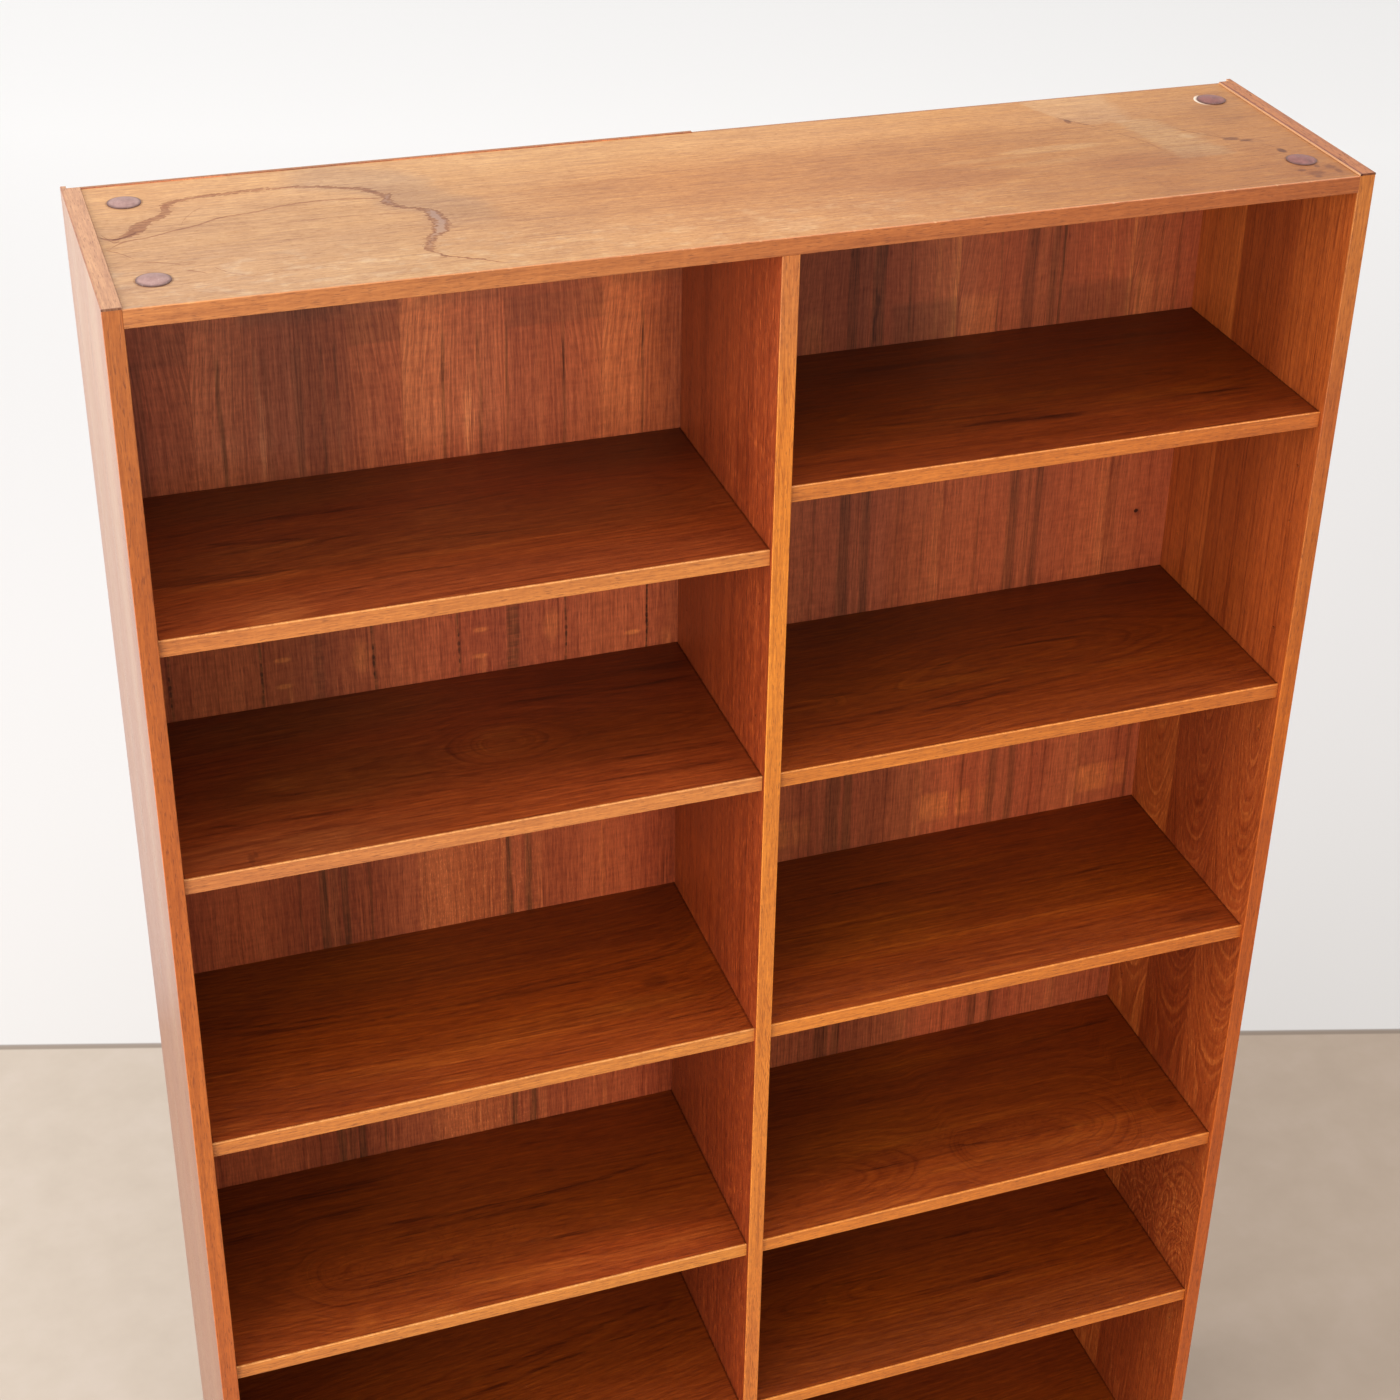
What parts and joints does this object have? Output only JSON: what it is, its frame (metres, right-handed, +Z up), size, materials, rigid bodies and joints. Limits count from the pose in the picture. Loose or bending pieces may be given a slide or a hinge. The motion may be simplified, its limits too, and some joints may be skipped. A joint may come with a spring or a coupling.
{
  "type": "bookcase",
  "caption": "Tall two-bay bookcase in wood veneer with adjustable shelves on hidden wires that slide out to the front, fixed middle shelves, plinth and back panels.",
  "frame": {"origin": "on the floor, at the middle of the case's width and depth", "axes": "+X to the right as one faces the bookcase, +Y to the back, +Z up; the open front faces -Y"},
  "size_m": [1.2, 0.288, 1.881],
  "materials": {
    "side_veneer": "oiled satin",
    "top_veneer": "dry, bleached, water-stained",
    "back_veneer": "oiled satin",
    "shelf_veneer": "oiled satin",
    "edge_strip": "oiled satin",
    "plinth_veneer": "oiled satin",
    "cap_plastic": "semi-matt",
    "cam_zinc": "cast",
    "steel": "drawn wire",
    "dowel_beech": "raw"
  },
  "bodies": {
    "carcass": {"left_side": "side_veneer", "right_side": "side_veneer", "centre_divider": "side_veneer", "top_board": "top_veneer", "bottom_board": "shelf_veneer", "left_fixed_shelf": "shelf_veneer", "right_fixed_shelf": "shelf_veneer", "left_side_front_strip": "edge_strip", "right_side_front_strip": "edge_strip", "left_side_top_strip": "edge_strip", "right_side_top_strip": "edge_strip", "divider_front_strip": "edge_strip", "top_board_front_strip": "edge_strip", "bottom_board_front_strip": "edge_strip", "left_fixed_shelf_strip": "edge_strip", "right_fixed_shelf_strip": "edge_strip", "left_back_panel": "back_veneer", "right_back_panel": "back_veneer", "back_panel_nails": "steel", "plinth_front": "plinth_veneer", "plinth_rear_rail": "plinth_veneer", "cover_caps": "cap_plastic", "top_cam_housings": "cam_zinc", "top_cam_bolts": "steel", "bottom_cam_housings": "cam_zinc", "bottom_cam_bolts": "steel", "carcass_dowels": "dowel_beech", "left_bay_support_wires": "steel", "right_bay_support_wires": "steel"},
    "left_shelf_1": {"left_shelf_1": "shelf_veneer", "left_shelf_1_strip": "edge_strip"},
    "left_shelf_2": {"left_shelf_2": "shelf_veneer", "left_shelf_2_strip": "edge_strip"},
    "left_shelf_3": {"left_shelf_3": "shelf_veneer", "left_shelf_3_strip": "edge_strip"},
    "left_shelf_4": {"left_shelf_4": "shelf_veneer", "left_shelf_4_strip": "edge_strip"},
    "right_shelf_1": {"right_shelf_1": "shelf_veneer", "right_shelf_1_strip": "edge_strip"},
    "right_shelf_2": {"right_shelf_2": "shelf_veneer", "right_shelf_2_strip": "edge_strip"},
    "right_shelf_3": {"right_shelf_3": "shelf_veneer", "right_shelf_3_strip": "edge_strip"},
    "right_shelf_4": {"right_shelf_4": "shelf_veneer", "right_shelf_4_strip": "edge_strip"}
  },
  "joints": [
    {"name": "left_shelf_1_slide", "type": "slide", "parent": "carcass", "child": "left_shelf_1", "axis": [0, -1, 0], "range_m": [0, 0.3]},
    {"name": "left_shelf_2_slide", "type": "slide", "parent": "carcass", "child": "left_shelf_2", "axis": [0, -1, 0], "range_m": [0, 0.3]},
    {"name": "left_shelf_3_slide", "type": "slide", "parent": "carcass", "child": "left_shelf_3", "axis": [0, -1, 0], "range_m": [0, 0.3]},
    {"name": "left_shelf_4_slide", "type": "slide", "parent": "carcass", "child": "left_shelf_4", "axis": [0, -1, 0], "range_m": [0, 0.3]},
    {"name": "right_shelf_1_slide", "type": "slide", "parent": "carcass", "child": "right_shelf_1", "axis": [0, -1, 0], "range_m": [0, 0.3]},
    {"name": "right_shelf_2_slide", "type": "slide", "parent": "carcass", "child": "right_shelf_2", "axis": [0, -1, 0], "range_m": [0, 0.3]},
    {"name": "right_shelf_3_slide", "type": "slide", "parent": "carcass", "child": "right_shelf_3", "axis": [0, -1, 0], "range_m": [0, 0.3]},
    {"name": "right_shelf_4_slide", "type": "slide", "parent": "carcass", "child": "right_shelf_4", "axis": [0, -1, 0], "range_m": [0, 0.3]}
  ]
}
